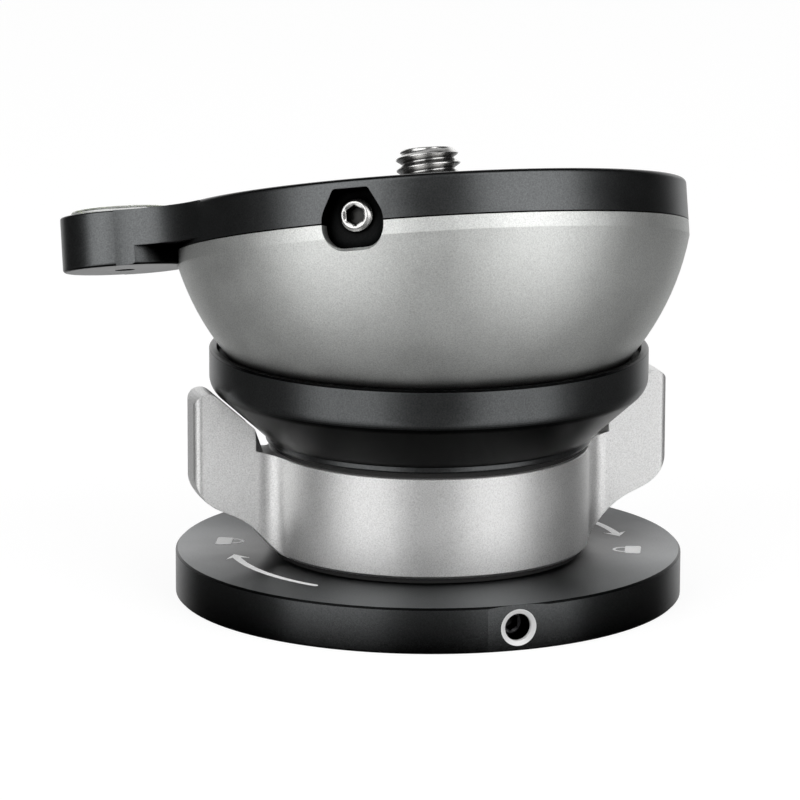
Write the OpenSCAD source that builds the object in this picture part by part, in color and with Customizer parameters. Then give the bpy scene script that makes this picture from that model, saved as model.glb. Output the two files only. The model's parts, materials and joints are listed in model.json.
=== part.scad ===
// Leveling base: a half ball that leans in a cup and is clamped by a winged lever ring.
// The origin is the centre of the base disc's underside. The head is drawn leaning, as photographed.

/* [Base disc] */
// Diameter of the base disc
base_d = 75.8; // [70:0.1:90]
// Thickness of the base disc
base_t = 6.8; // [6.2:0.1:10]
// Width of the bevels round the base disc
base_bevel = 0.3; // [0.2:0.1:1]
// Height of the raised centre that locates the hub
centre_h = 2; // [1:0.5:3]
// Width of the flat milled round the side screw
flat_w = 9.4; // [8:0.2:12]
// Turn of the side screw from the front towards the right
side_screw_turn = 20.4; // [0:0.2:40]

/* [Tripod thread] */
// Diameter of the tripod thread
thread_d = 9.525; // [6.35:0.005:10]
// Outside diameter of the threaded bush
bush_d = 15; // [13:0.5:17]
// Diameter of the bush's flange
bush_flange_d = 18; // [17:0.5:20]
// Thickness of the bush's flange
bush_flange_t = 1; // [0.6:0.1:1.3]

/* [Lever ring] */
// Diameter of the lever ring
ring_d = 48; // [46:1:52]
// Wall of the lever ring
ring_wall = 5; // [4.4:0.1:6]
// Height of the lever ring
ring_h = 15; // [13:0.1:20]
// Gap between the base disc and the lever ring
ring_lift = 0.75; // [0.3:0.05:1.2]
// Reach of the wing tips from the axis
wing_reach = 36.5; // [34:0.1:42]
// Thickness of the wings
wing_t = 6; // [5:0.1:8]
// Radius of the blends between wings and ring
wing_blend = 3.7; // [2:0.1:7]
// Radius of the upright edges at the wing tips
wing_edge = 1.2; // [0.4:0.1:2.2]
// Distance from the ring out to the flats of the raised part of a wing
wing_step = 3.3; // [2.5:0.1:4.5]
// Gap between the raised part of a wing and the cup's cone
wing_gap = 0.45; // [0.2:0.05:1.5]
// Turn of the wings from the left towards the front
wing_turn = 15.5; // [0:0.5:45]

/* [Cup] */
// Diameter of the cup's rim
cup_d = 65.5; // [63:0.5:70]
// Slope of the cup's cone
cone_angle = 42; // [36:1:46]
// Height of the upright rim above the cone
rim_h = 5.7; // [4:0.1:8]
// Thickness of the rim wall at its mouth
rim_wall = 1.4; // [1:0.1:2]
// Gap between the rim's mouth and the ball
rim_gap = 0.45; // [0.3:0.05:1.5]
// Height of the cup's neck under its cone
neck_h = 0.95; // [0.8:0.05:3]
// Gap between the lever ring and the cup's neck
neck_gap = 0.9; // [0.5:0.1:1.5]
// Wall of the hub inside the lever ring
hub_wall = 7.5; // [7:0.1:7.8]

/* [Half ball] */
// Diameter of the ball
ball_d = 78.3; // [77:0.1:86]
// Wall of the half ball
ball_wall = 6; // [4.5:0.5:7]
// Depth of the straight band cut into the ball's side
band_cut = 1.25; // [0.6:0.05:3]
// Width of the lip round the half ball's mouth
lip_w = 10.9; // [9.5:0.1:11.5]
// Depth of the lip round the mouth
mouth_lip = 2.2; // [2:0.1:3]

/* [Top plate] */
// Thickness of the top plate
plate_t = 6.25; // [5.5:0.05:9]
// Distance of the plate's top below the ball's centre
plate_drop = 1.5; // [0:0.1:4]
// Radius of the plate's top edge
plate_edge = 0.7; // [0.3:0.1:1.5]
// Rise of the stud above the plate
stud_rise = 6.9; // [4:0.1:12]
// Diameter of the stud's neck in the plate
stud_neck_d = 10.6; // [9.6:0.1:11.5]
// Diameter of the stud's collar
collar_d = 14; // [12:0.5:16]
// Turn of the pocket from the front towards the left
pocket_turn = 17.2; // [0:0.2:30]
// Width of the pocket at the seam
pocket_w = 9.2; // [8:0.1:11]
// Width of the pocket's flat top
pocket_top_w = 5.2; // [4:0.1:7]
// Rise of the pocket above the seam
pocket_rise = 4.9; // [4:0.05:5.2]
// Drop of the pocket below the seam
pocket_drop = 3.55; // [3:0.05:6]
// Depth of the pocket
pocket_depth = 2.6; // [1.5:0.1:4]
// Depth of the slope at the foot of the pocket
pocket_rim = 0.65; // [0.2:0.05:1.2]

/* [Level] */
// Overlap of the level's boss with the top plate
level_overlap = 1.25; // [0.4:0.05:2]
// Diameter of the level's boss
level_boss_d = 18.3; // [17:0.1:22]
// Drop of the boss below the plate's seam
level_boss_drop = 2; // [0.5:0.1:3]
// Diameter of the vial
vial_d = 15; // [12:0.1:16]
// Rise of the vial above its boss
vial_rise = 0.8; // [0.4:0.1:1.5]
// Radius of the blends between the arm and the plate
arm_blend = 16; // [4:0.5:30]
// Step from the plate's top down to the arm
arm_step = 0.1; // [0.05:0.05:1.5]
// Height of the arm's underside above the plate's seam
arm_lift = 0.8; // [0.2:0.1:2]

/* [Clamp] */
// Diameter of the draw bolt
bolt_d = 10; // [9:0.5:11]
// Diameter of the draw bolt's thread
bolt_thread_d = 8; // [6:0.5:8]
// Height of the clamp nut
nut_h = 5.8; // [4:0.1:6]
// Width of the lugs on the clamp nut
lug_w = 6; // [4:0.5:8]
// Turn of the lever ring from locked to open
lever_travel = 90; // [60:5:100]
// Thickness of the clamp cap
cap_t = 4; // [3:0.5:6]
// Thickness of the slip washer inside the ball
slip_t = 1.4; // [1.1:0.1:2]
// Thickness of the seat ring under the ball
seat_t = 1.2; // [0.8:0.1:1.4]
// Wire of the lift spring
spring_wire = 0.9; // [0.6:0.1:1]
// Height of the lift spring
spring_h = 3.4; // [3:0.1:5]

/* [Screws] */
// Diameter of the screws under the hub
hub_screw_d = 4; // [3:0.5:4]
// Diameter of the screws in the plate
plate_screw_d = 3; // [2.5:0.5:3]
// Diameter of the set screw in the base disc's side
side_screw_d = 4; // [3:0.5:4]
// Width of the bevel round the side screw's hole
side_bevel = 0.65; // [0.3:0.05:0.9]
// Diameter of the set screw that locks the stud
stud_screw_d = 4.7; // [4:0.1:5]

/* [Clearances] */
// Gap round a piece that turns or slides
run_gap = 0.05; // [0.02:0.01:0.1]
// Gap round a piece that is screwed or pressed in
fit_gap = 0.02; // [0.01:0.01:0.05]
// Gap between the ball faces
ball_gap = 0.1; // [0.05:0.05:0.2]

/* [Pose] */
// Lean of the head from level
lean = 15.6; // [0:0.1:16]
// Direction of the lean from the back towards the left
lean_turn = 14; // [-180:0.5:180]
// Most that the head can lean
lean_limit = 16; // [12:0.5:16]

/* [Hidden] */
$fn = 96;
eps = 0.01;
arc_steps = 8;

// Colours
black = "#1c1c1e";
silver = "#c9cacc";
grey = "#8f8e8a";
steel = "#b9babc";
white_plastic = "#e8e6df";

// Heights of the stack, from the table up
base_r = base_d / 2;
ring_r = ring_d / 2;
ring_z = base_t + ring_lift;
ring_top_z = ring_z + ring_h;
neck_z = ring_top_z + neck_gap;
cone_z = neck_z + neck_h;
neck_r = ring_r + 0.4;
cup_r = cup_d / 2;
cone_top_z = cone_z + (cup_r - neck_r) * tan(cone_angle);
rim_z = cone_top_z + rim_h;
rim_mouth_r = cup_r - rim_wall;
centre_z = base_t + centre_h;

// The ball, whose centre is as high as the rim's mouth asks
ball_r = ball_d / 2;
ball_z = rim_z + sqrt(pow(ball_r, 2) - pow(rim_mouth_r - rim_gap, 2));
ball_in_r = ball_r - ball_wall;
band_r = ball_r - band_cut;
plate_top = -plate_drop;
seam = plate_top - plate_t;
mouth_r = band_r - lip_w;
seam_bevel = 0.2;
bowl_relief = 0.6;
bowl_r = ball_r + bowl_relief;
bowl_z = ball_z - bowl_r;

// Hub, nut and lugs
hub_r = ring_r - ring_wall;
hollow_r = hub_r - hub_wall;
nut_z = centre_z + 0.5;
nut_top_z = nut_z + nut_h;
thrust_t = 0.6;
ceiling_z = nut_top_z + thrust_t + run_gap;
well_depth = 2.95;
well_z = bowl_z - well_depth;
nut_r = hollow_r - 0.2;
lug_r = hub_r + 2;
key_gap = 0.2;
lug_turn = 90 - wing_turn;
lug_half = asin(lug_w / 2 / hollow_r);
slot_spare = 1.5;
leg_turn = lug_turn + lever_travel / 2 + 90;
hub_screw_r = (hub_r + hollow_r) / 2;
hub_screw_turn = 18;
hub_screw_len = 14;
screw_inset = 0.3;

// Set screws
side_screw_inset = 3.5;
set_point = 1;
set_bevel = 0.3;
socket_share = 0.54;

// Slide washers on both sides of the lever ring
slide_recess = 0.6;
slide_land = 0.8;
slide_r = ring_r - slide_land;

// Wings
ring_bevel = 0.4;
tip_r = wing_reach + 0.1;
root_r = hub_r + 1;
flat_start = ring_r + wing_step;
nose_run = 1.8;
notch_slope = 0.27;

// Draw bolt, from the spring up
sleeve_wall = 2.5;
core_r = bolt_d / 2 + sleeve_wall;
core_gap = 0.7;
sleeve_z = well_z + spring_h;
well_r = core_r + core_gap;
bolt_r = bolt_d / 2;
bolt_flat = bolt_d - 2;
bolt_end_z = centre_z + 0.9;
bolt_head_r = 9;
bolt_head_h = 5;
bolt_socket_w = 6;
bolt_washer_t = 1.2;
opening_r = ball_r * sin(lean_limit + asin((core_r + core_gap) / ball_r));
slip_in_r = ball_in_r - 0.5;
slip_out_r = slip_in_r + slip_t;
slip_edge_r = opening_r + 1.6;
cap_r = slip_in_r - ball_gap;
cap_angle = asin(opening_r / ball_in_r) + lean_limit + 1;
cap_rim = -cap_r * cos(cap_angle);
slip_rim = -slip_out_r * cos(cap_angle + 1.2);
cap_foot_r = bolt_head_r;
cap_foot = -sqrt(pow(cap_r, 2) - pow(cap_foot_r, 2));
cap_boss_r = bolt_head_r + 2;
cap_boss_h = cap_t + 3;
cap_top_z = ball_z + cap_foot + cap_boss_h;

// Seat ring under the ball
seat_top_z = rim_z - 1;
seat_h = 3;
seat_z = seat_top_z - seat_h;
seat_in_r = ball_r + ball_gap;
seat_out_r = seat_in_r + seat_t;

// Top plate and what it carries
plate_screw_r = band_r - plate_edge - plate_screw_d - 0.6;
plate_screw_len = 12;
collar_r = collar_d / 2;
collar_h = 3.6;
collar_z = seam + 0.1;
neck_top = plate_top - 0.1;
stud_bevel = 0.7;
retainer_t = 1.2;
retainer_r = collar_r + 2;
retainer_gap = 0.5;
pocket_face_r = band_r - pocket_depth;
pocket_foot = seam - pocket_drop;
pocket_rim_r = sqrt(pow(ball_r, 2) - pow(pocket_foot, 2)) - pocket_rim;
pocket_slope = 45;
stud_screw_rise = 1.15;
spigot_h = stud_screw_d / 2 - stud_screw_rise + 0.7;
set_screw_out = 1.2;

// Level
vial_r = vial_d / 2;
level_boss_r = level_boss_d / 2;
level_reach = band_r + level_boss_r - level_overlap;
level_top = plate_top - arm_step;
level_foot = seam - level_boss_drop;
level_ledge = 0.7;
vial_floor = seam + 0.2;
vial_cap_t = 1.2;
vial_wall = 1;
vial_hole_d = 3;
bubble_r = 1.9;
fluid_top = level_top + vial_rise - 1.1;

// Corners of a path: [x, y, r] is rounded where r is above 0 and bevelled where it is below
function unit(v) = v / norm(v);
function round_off(a, b, c, r) =
    let (u = unit(a - b), v = unit(c - b), half = acos(u * v) / 2,
        centre = b + unit(u + v) * r / sin(half), first = b + u * r / tan(half) - centre,
        start = atan2(first.y, first.x), turn = (cross(u, v) < 0 ? 1 : -1) * (180 - 2 * half))
    [for (i = [0:arc_steps]) centre + r * [cos(start + turn * i / arc_steps),
        sin(start + turn * i / arc_steps)]];
function corner(a, b, c, r) = r > 0 ? round_off(a, b, c, r)
    : r < 0 ? [b - unit(a - b) * r, b - unit(c - b) * r] : [b];
function xy(p) = [p.x, p.y];
function softened(path) = let (n = len(path))
    [for (i = [0:n - 1]) each corner(xy(path[(i + n - 1) % n]), xy(path[i]),
        xy(path[(i + 1) % n]), path[i].z)];
function cone_at(r) = cone_z + (r - neck_r) * tan(cone_angle);
function floor_at(r) = ring_top_z + (r - ring_r) * notch_slope;

module turned(path) rotate_extrude() polygon(softened(path));

// A disc or ring between two heights
module ring(r, z0, z1, hole = 0)
    translate([0, 0, z0]) difference() {
        cylinder(r = r, h = z1 - z0);
        if (hole > 0) translate([0, 0, -1]) cylinder(r = hole, h = z1 - z0 + 2);
    }

// Half section of a ball or of its shell between two heights
module arc_section(r_out, r_in, z0, z1) intersection() {
    difference() {
        circle(r_out);
        if (r_in > 0) circle(r_in);
    }
    translate([0, z0]) square([r_out + 1, z1 - z0]);
}

// Part of a ball shell between two heights
module shell(r_out, r_in, z0, z1) rotate_extrude() arc_section(r_out, r_in, z0, z1);

module hex_socket(w, depth) cylinder(d = w / cos(30), h = depth, $fn = 6);

// A countersunk screw, head down at height 0
module countersunk_screw(d, len) difference() {
    turned([[0, 0, 0], [d, 0, 0], [d / 2, d / 2, 0], [d / 2, len, 0], [0, len, 0]]);
    translate([0, 0, -eps]) hex_socket(d * 0.62, d * 0.45);
}

module countersunk_hole(d, len) turned([[0, -screw_inset - 1, 0],
    [d + fit_gap, -screw_inset - 1, 0], [d + fit_gap, 0, 0], [d / 2 + fit_gap, d / 2, 0],
    [d / 2 + fit_gap, len, 0], [0, len, 0]]);

// A set screw along +X from its tip, with a socket at the far end
module set_screw(d, len) rotate([0, 90, 0]) difference() {
    turned([[0, 0, 0], [d / 2, 0, -set_point], [d / 2, len, -set_bevel], [0, len, 0]]);
    translate([0, 0, len - d / 2]) hex_socket(d * socket_share, len);
}

// Moves what is drawn level about the ball's centre to the leaning head
module on_head() translate([0, 0, ball_z]) rotate(180 + lean_turn) rotate([lean, 0, 0])
    rotate(-180 - lean_turn) children();

// Base disc
module at_hub_screws() for (leg = [0, 180], side = [-1, 1])
    rotate(leg_turn + leg + side * hub_screw_turn) translate([hub_screw_r, 0, screw_inset])
        children();

module base_plate() color(black) difference() {
    union() {
        turned([[0, 0, 0], [base_r, 0, -base_bevel], [base_r, base_t, -base_bevel], [0, base_t, 0]]);
        ring(hollow_r - fit_gap, base_t - 1, centre_z);
    }
    translate([0, 0, -1]) cylinder(r = bush_d / 2 + fit_gap, h = centre_z + 2);
    translate([0, 0, -1]) cylinder(r = bush_flange_d / 2 + fit_gap, h = 1 + bush_flange_t);
    at_hub_screws() countersunk_hole(hub_screw_d, hub_screw_len);
    rotate(side_screw_turn - 90) {
        flat_r = sqrt(pow(base_r, 2) - pow(flat_w / 2, 2));
        translate([flat_r, -flat_w, -1]) cube([base_r, 2 * flat_w, base_t + 2]);
        translate([bush_d / 2 - 1, 0, base_t / 2]) rotate([0, 90, 0])
            cylinder(r = side_screw_d / 2 + fit_gap, h = base_r);
        translate([flat_r - side_bevel / 3, 0, base_t / 2]) rotate([0, 90, 0])
            cylinder(r1 = side_screw_d / 2, r2 = side_screw_d / 2 + 3 * side_bevel, h = side_bevel);
    }
}

module base_bush() color(steel) difference() {
    union() {
        ring(bush_d / 2, 0, centre_z);
        ring(bush_flange_d / 2, 0, bush_flange_t - fit_gap);
    }
    translate([0, 0, -1]) cylinder(d = thread_d, h = centre_z + 2);
}

module base_set_screw() color(steel) rotate(side_screw_turn - 90)
    translate([bush_d / 2 + fit_gap, 0, base_t / 2])
        set_screw(side_screw_d, base_r - bush_d / 2 - side_screw_inset);

module hub_screws() color(steel) at_hub_screws() countersunk_screw(hub_screw_d, hub_screw_len);

// Cup and its hub
module cup_section() difference() {
    polygon(softened([[0, ceiling_z, 0], [hollow_r, ceiling_z, 0], [hollow_r, base_t, 0],
        [hub_r, base_t, -0.4], [hub_r, neck_z, 0], [neck_r, neck_z, 0.4],
        [neck_r, cone_z, 0], [cup_r, cone_top_z, 3], [cup_r, rim_z, -0.3],
        [rim_mouth_r, rim_z, 0], [rim_mouth_r, seat_top_z, 0], [0, seat_top_z, 0]]));
    translate([0, ball_z]) {
        arc_section(bowl_r, 0, -bowl_r, 0);
        arc_section(seat_out_r + fit_gap, 0, seat_z - fit_gap - ball_z, seat_top_z + fit_gap - ball_z);
    }
    translate([-1, well_z]) square([well_r + 1, ball_z]);
}

module cup() color(black) difference() {
    rotate_extrude() cup_section();
    translate([0, 0, ceiling_z - 1]) linear_extrude(well_z - ceiling_z + 2)
        flatted(bolt_r + run_gap, bolt_flat / 2 + run_gap);
    for (side = [0, 180]) rotate(lug_turn + side) lug_window();
    at_hub_screws() cylinder(r = hub_screw_d / 2 + fit_gap, h = hub_screw_len + 0.6);
}

// Disc with two flats
module flatted(r, half_w) intersection() {
    circle(r);
    square([2 * half_w, 4 * r], center = true);
}

// Wedge between the hub's legs that a lug sweeps through
module lug_window() {
    start = -lug_half - slot_spare;
    sweep = lever_travel + 2 * (lug_half + slot_spare);
    translate([0, 0, base_t - 1]) linear_extrude(nut_top_z + key_gap - base_t + 1)
        polygon(concat([for (i = [0:4]) 2 * hub_r * [cos(start + sweep * i / 4),
                sin(start + sweep * i / 4)]],
            [for (i = [4:-1:0]) hollow_r / 2 * [cos(start + sweep * i / 4),
                sin(start + sweep * i / 4)]]));
}

module thrust_washer() color(steel)
    ring(nut_r, nut_top_z + run_gap, ceiling_z - run_gap / 2, bolt_r + 0.6);

module lower_slide_washer() color(black)
    ring(slide_r - run_gap, base_t, ring_z + slide_recess - run_gap, hub_r + fit_gap);

module upper_slide_washer() color(black)
    ring(slide_r - run_gap, ring_top_z - slide_recess + run_gap, neck_z, hub_r + fit_gap);

// Plan of a wing, from the point of its nose or from inside the ring
module wing_plan(nose) {
    w = wing_t / 2;
    root = nose ? [[flat_start - nose_run, nose_run - w, 0], [flat_start, -w, 0]] : [[0, -w, 0]];
    polygon(softened(concat(root, [[wing_reach, -w, wing_edge], [wing_reach, w, wing_edge]],
        [for (i = [len(root) - 1:-1:0]) [root[i].x, -root[i].y, 0]])));
}

// Blends between the ring and the sides of a wing
module wing_blends() {
    y = wing_t / 2 + wing_blend;
    x = sqrt(pow(ring_r + wing_blend, 2) - y * y);
    for (side = [-1, 1]) difference() {
        polygon([[0, 0], [x, 0], [x, side * y]]);
        translate([x, side * y]) circle(wing_blend);
    }
}

// Outline that a wing is turned to, below the path given for its top
module wing_outline(top) {
    knee = [ring_r + 4.7, ring_z + 5.3];
    tip_foot = knee.y + (wing_reach - knee.x) * 0.46;
    turned(concat([[root_r, ring_z, 0], [ring_r - 0.1, ring_z, -ring_bevel], [knee.x, knee.y, 11],
        [tip_r, tip_foot, 6]], top));
}

// Lever ring with two wings that rise beyond a notch
module wing() {
    crest = flat_start + 0.3;
    intersection() {
        wing_outline([[tip_r, floor_at(tip_r), 0], [ring_r, floor_at(ring_r), 0],
            [root_r, ring_top_z - 1, 0]]);
        linear_extrude(rim_z) {
            wing_plan(false);
            wing_blends();
        }
    }
    intersection() {
        wing_outline([[tip_r, cone_at(tip_r) - wing_gap, 2], [crest, cone_at(crest) - wing_gap, 0.4],
            [crest - nose_run, ring_top_z + 0.3, 0], [root_r, ring_top_z - 1, 0]]);
        linear_extrude(rim_z) wing_plan(true);
    }
}

module lever_ring() color(silver) difference() {
    union() {
        turned([[hub_r - 1, ring_z, 0], [ring_r, ring_z, -ring_bevel], [ring_r, ring_top_z, -0.15],
            [hub_r - 1, ring_top_z, 0]]);
        for (side = [0, 180]) rotate(180 + wing_turn + side) wing();
    }
    ring(hub_r + run_gap, 0, rim_z);
    ring(slide_r, ring_z - 1, ring_z + slide_recess);
    ring(slide_r, ring_top_z - slide_recess, ring_top_z + 1);
    for (side = [0, 180]) rotate(lug_turn + side)
        translate([0, -lug_w / 2 - run_gap, ring_z - 1])
            cube([lug_r + key_gap, lug_w + 2 * run_gap, 1 + nut_top_z + key_gap - ring_z]);
}

module clamp_nut() color(steel) translate([0, 0, nut_z]) linear_extrude(nut_h) difference() {
    union() {
        circle(nut_r);
        rotate(lug_turn + 90) flatted(lug_r, lug_w / 2);
    }
    circle(bolt_thread_d / 2 + run_gap);
}

// Clamp that is drawn down into the half ball
module draw_bolt() color(steel) difference() {
    union() {
        turned([[0, bolt_end_z, 0], [bolt_thread_d / 2, bolt_end_z, -0.6],
            [bolt_thread_d / 2, ceiling_z - thrust_t + eps, 0], [0, ceiling_z - thrust_t + eps, 0]]);
        translate([0, 0, ceiling_z - thrust_t]) linear_extrude(sleeve_z - 0.5 - ceiling_z + thrust_t)
            flatted(bolt_r, bolt_flat / 2);
        ring(bolt_r, sleeve_z - 0.5 - eps, cap_top_z + bolt_washer_t + 1);
        translate([0, 0, cap_top_z + bolt_washer_t])
            turned([[0, 0, 0], [bolt_head_r, 0, 0], [bolt_head_r, bolt_head_h, -0.6],
                [0, bolt_head_h, 0]]);
    }
    translate([0, 0, cap_top_z + bolt_washer_t + bolt_head_h - 3]) hex_socket(bolt_socket_w, 4);
}

module clamp_cap() color(silver) difference() {
    translate([0, 0, ball_z]) {
        shell(cap_r, cap_r - cap_t, cap_foot, cap_rim);
        ring(cap_boss_r, cap_foot + cap_t / 2, cap_foot + cap_boss_h);
    }
    ring(bolt_r + fit_gap, 0, ball_z);
}

module bolt_washer() color(steel)
    ring(bolt_head_r + 1, cap_top_z, cap_top_z + bolt_washer_t, bolt_r + fit_gap);

module stop_sleeve() color(silver) ring(core_r, sleeve_z, ball_z + cap_foot, bolt_r + fit_gap);

// Lift spring, one tube swept along a helix with its ends on a level turn
spring_turns = 3;
spring_rings = 20;
spring_sides = 6;
spring_r = (bolt_r + core_r) / 2;
function spring_at(t) = let (rise = spring_h - spring_wire - 2 * eps)
    [spring_r * cos(360 * t), spring_r * sin(360 * t),
        well_z + eps + spring_wire / 2 + rise * min(max(t - 0.5, 0), spring_turns - 1)
            / (spring_turns - 1)];
module lift_spring() color(steel) {
    last = spring_turns * spring_rings;
    points = [for (i = [0:last], k = [0:spring_sides - 1])
        let (t = i / spring_rings, side = 360 * k / spring_sides)
        spring_at(t) + spring_wire / 2
            * [cos(side) * cos(360 * t), cos(side) * sin(360 * t), sin(side)]];
    sides = [for (i = [0:last - 1], k = [0:spring_sides - 1])
        let (a = i * spring_sides, n = (k + 1) % spring_sides)
        each [[a + k, a + n, a + spring_sides + k], [a + n, a + spring_sides + n,
            a + spring_sides + k]]];
    ends = [[for (k = [0:spring_sides - 1]) spring_sides - 1 - k],
        [for (k = [0:spring_sides - 1]) last * spring_sides + k]];
    polyhedron(points, concat(sides, ends));
}

// Rings that the ball turns on
module seat_ring() color(black) translate([0, 0, ball_z])
    shell(seat_out_r, seat_in_r, seat_z - ball_z, seat_top_z - ball_z);

module slip_washer() color(white_plastic) on_head() difference() {
    shell(slip_out_r, slip_in_r, -slip_out_r, slip_rim);
    ring(slip_edge_r + ball_gap, -slip_out_r - 1, 0);
}

// Half ball
module at_pocket() rotate(-90 - pocket_turn) children();

// Outline of the pocket below the seam and a little above it, smaller all round by a gap
module pocket_outline(gap) {
    w = pocket_w / 2 - gap;
    polygon(softened([[-w, 0.5, 0], [-w, gap - pocket_drop, 3], [w, gap - pocket_drop, 3],
        [w, 0.5, 0]]));
}

module pocket_top() {
    w = pocket_w / 2;
    t = pocket_top_w / 2;
    polygon(softened([[-w, -1, 0], [w, -1, 0], [w, pocket_rise * 0.25, 4], [t, pocket_rise, 0.6],
        [-t, pocket_rise, 0.6], [-w, pocket_rise * 0.25, 4]]));
}

// Stands an outline across the radius at r0 and runs it out to r1
module radial(r0, r1) translate([r0, 0, seam]) rotate([90, 0, 90]) linear_extrude(r1 - r0)
    children();

module at_plate_screws() for (a = [45:90:315]) rotate(a) translate([plate_screw_r, 0, 0])
    children();

module ball_section() difference() {
    intersection() {
        circle(ball_r);
        translate([0, -ball_r]) square([band_r, ball_r + seam]);
    }
    arc_section(ball_in_r, 0, -ball_in_r, seam - mouth_lip);
    difference() {
        arc_section(slip_out_r + ball_gap, 0, -ball_r, slip_rim + ball_gap);
        translate([0, -ball_r]) square([slip_edge_r, ball_r]);
    }
    translate([-1, -ball_r - 1]) square([opening_r + 1, ball_r]);
    translate([-1, seam - mouth_lip - 1]) square([mouth_r + 1, mouth_lip + 2]);
}

module half_ball() color(grey) on_head() difference() {
    rotate_extrude() ball_section();
    at_pocket() {
        radial(mouth_r - 3, ball_r + 1) pocket_outline(0);
        translate([pocket_rim_r, 0, pocket_foot]) rotate([0, pocket_slope, 0])
            translate([0, 0, -pocket_foot]) radial(-2, 4) pocket_outline(fit_gap);
    }
    at_plate_screws() translate([0, 0, seam - plate_screw_len + plate_t - 1])
        cylinder(r = plate_screw_d / 2 + fit_gap, h = plate_screw_len);
}

// Top plate with its arm for the level
module arm_plan() {
    d = level_reach;
    a = band_r + arm_blend;
    b = level_boss_r + arm_blend;
    x = (d * d + a * a - b * b) / (2 * d);
    y = sqrt(a * a - x * x);
    for (side = [-1, 1]) difference() {
        polygon([[0, 0], [x, side * y], [d, 0]]);
        translate([x, side * y]) circle(arm_blend);
    }
}

// Arm with the boss of the level and the ledge round the boss
module level_arm() {
    translate([0, 0, seam + arm_lift]) linear_extrude(level_top - seam - arm_lift) arm_plan();
    translate([level_reach, 0, 0]) turned([[0, level_foot, 0], [level_boss_r, level_foot, 0.5],
        [level_boss_r, level_top, 0.3], [0, level_top, 0]]);
    intersection() {
        translate([0, 0, level_foot - 1]) linear_extrude(plate_t) arm_plan();
        translate([level_reach, 0, 0]) turned([[0, level_foot, 0],
            [level_boss_r + level_ledge, level_foot, 0.5],
            [level_boss_r + level_ledge, seam + arm_lift + 1, 0], [0, seam + arm_lift + 1, 0]]);
    }
}

module top_plate() color(black) on_head() difference() {
    union() {
        turned([[0, seam - spigot_h, 0], [mouth_r - fit_gap, seam - spigot_h, -0.4],
            [mouth_r - fit_gap, seam, 0], [band_r, seam, -seam_bevel],
            [band_r, plate_top, plate_edge], [0, plate_top, 0]]);
        difference() {
            rotate(180) level_arm();
            ring(band_r + fit_gap, level_foot - 1, seam);
        }
        at_pocket() radial(mouth_r - 2, pocket_face_r) pocket_outline(fit_gap);
    }
    at_pocket() {
        radial(pocket_face_r, band_r + 2) pocket_top();
        translate([collar_r - 1, 0, seam + stud_screw_rise]) rotate([0, 90, 0])
            cylinder(r = stud_screw_d / 2 + fit_gap, h = band_r);
    }
    ring(collar_r + fit_gap, seam - spigot_h - 1, collar_z + collar_h);
    ring(stud_neck_d / 2 + fit_gap, seam, plate_top + 1);
    ring(retainer_r + fit_gap, collar_z - retainer_t - 2 * fit_gap, collar_z - fit_gap);
    at_plate_screws() translate([0, 0, plate_top]) mirror([0, 0, 1])
        translate([0, 0, screw_inset]) countersunk_hole(plate_screw_d, plate_t + 1);
    translate([-level_reach, 0, 0]) {
        ring(vial_r + fit_gap, vial_floor, level_top + 1);
        ring(vial_hole_d / 2, level_foot - 1, vial_floor + 1);
    }
}

module plate_screws() color(steel) on_head() at_plate_screws()
    translate([0, 0, plate_top - screw_inset]) mirror([0, 0, 1])
        countersunk_screw(plate_screw_d, plate_screw_len);

module mount_stud() color(steel) on_head()
    turned([[0, collar_z, 0], [collar_r, collar_z, 0], [collar_r, collar_z + collar_h - fit_gap, 0],
        [stud_neck_d / 2, collar_z + collar_h - fit_gap, 0], [stud_neck_d / 2, neck_top, 0],
        [thread_d / 2, neck_top, 0], [thread_d / 2, plate_top + stud_rise, -stud_bevel],
        [0, plate_top + stud_rise, 0]]);

// Ring in a groove under the stud's collar, open where the set screw passes
module stud_retainer() color(steel) on_head() difference() {
    ring(retainer_r, collar_z - retainer_t - fit_gap, collar_z - 2 * fit_gap, collar_r - 2);
    at_pocket() translate([0, -stud_screw_d / 2 - retainer_gap, seam - spigot_h])
        cube([2 * retainer_r, stud_screw_d + 2 * retainer_gap, plate_t]);
}

module stud_set_screw() color(steel) on_head() at_pocket()
    translate([collar_r + fit_gap, 0, seam + stud_screw_rise])
        set_screw(stud_screw_d, pocket_face_r + set_screw_out - collar_r);

// Round level
module at_level() on_head() translate([-level_reach, 0, 0]) children();

module vial_cavity(gap) ring(vial_r - vial_wall - gap, vial_floor + vial_cap_t + gap, fluid_top - gap);

module vial_body() color([0.8, 0.9, 0.75, 0.5]) at_level() difference() {
    turned([[0, vial_floor + vial_cap_t, 0], [vial_r, vial_floor + vial_cap_t, 0],
        [vial_r, level_top + vial_rise, 0.4], [0, level_top + vial_rise, 0]]);
    vial_cavity(0);
}

module vial_fluid() color([0.7, 0.9, 0.3, 0.8]) at_level() difference() {
    vial_cavity(fit_gap);
    rotate(lean_turn - 90) translate([vial_r - vial_wall - bubble_r, 0, fluid_top])
        sphere(bubble_r);
}

module vial_base() color(white_plastic) at_level()
    ring(vial_r, vial_floor, vial_floor + vial_cap_t);

base_plate();
base_bush();
base_set_screw();
hub_screws();
cup();
thrust_washer();
lower_slide_washer();
upper_slide_washer();
lever_ring();
clamp_nut();
draw_bolt();
clamp_cap();
bolt_washer();
stop_sleeve();
lift_spring();
seat_ring();
slip_washer();
half_ball();
top_plate();
plate_screws();
mount_stud();
stud_retainer();
stud_set_screw();
vial_body();
vial_fluid();
vial_base();
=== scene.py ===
import json
import math

import bmesh
import bpy
from mathutils import Matrix, Vector


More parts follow.
